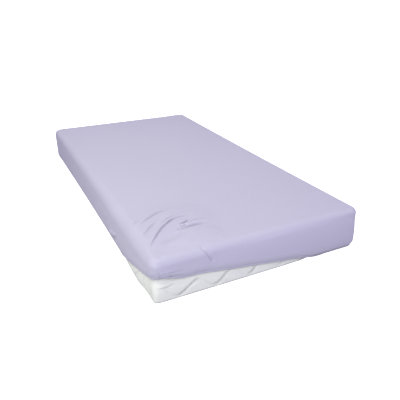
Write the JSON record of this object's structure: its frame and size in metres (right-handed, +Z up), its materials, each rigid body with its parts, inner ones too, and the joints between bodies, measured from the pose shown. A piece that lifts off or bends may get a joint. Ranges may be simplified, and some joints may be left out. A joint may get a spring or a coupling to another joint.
{
  "type": "fitted sheet on a mattress",
  "caption": "Elasticated fitted sheet in thin knit, stretched over a plain foam mattress, with the hem slipped up and slack creases at one corner.",
  "frame": {"origin": "on the surface that the mattress lies on, under the middle of the mattress", "axes": "+X across the mattress to the right, +Y along it from the end with the slipped hem to the far end, +Z up; the slipped corner is at low X and low Y"},
  "size_m": [1.0042, 2.0062, 0.2001],
  "materials": {
    "sheet_jersey": "matt knitted jersey, lilac",
    "mattress_cover": "matt white quilted knit"
  },
  "bodies": {
    "root": {"fitted_sheet": "sheet_jersey", "mattress": "mattress_cover"}
  },
  "joints": []
}
